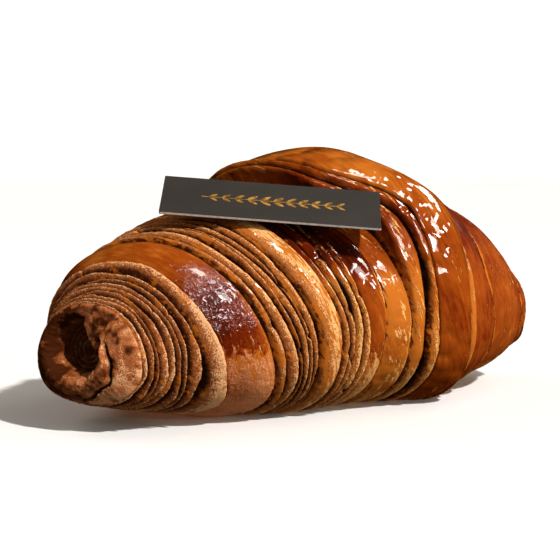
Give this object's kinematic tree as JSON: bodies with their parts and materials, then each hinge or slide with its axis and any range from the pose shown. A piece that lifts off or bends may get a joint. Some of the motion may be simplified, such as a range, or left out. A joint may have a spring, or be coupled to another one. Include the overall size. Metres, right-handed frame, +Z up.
{
  "type": "chocolate croissant",
  "caption": "Large glazed chocolate croissant with flaky laminated wraps and an open curled tip, with a small blank dark label card lying on its crest.",
  "frame": {"origin": "centre of the footprint, on the surface the pastry rests on", "axes": "+Z up; X along the pastry with the open curled tip at -X; -Y is the side the card faces and the tips bend towards"},
  "size_m": [0.1674, 0.0994, 0.0722],
  "materials": {
    "crust": "baked chocolate dough, matte tan lamination edges between glossy red-brown glazed wraps",
    "card": "matte charcoal card with a pale cut edge"
  },
  "bodies": {
    "root": {"pastry": "crust", "label_card": "card"}
  },
  "joints": []
}
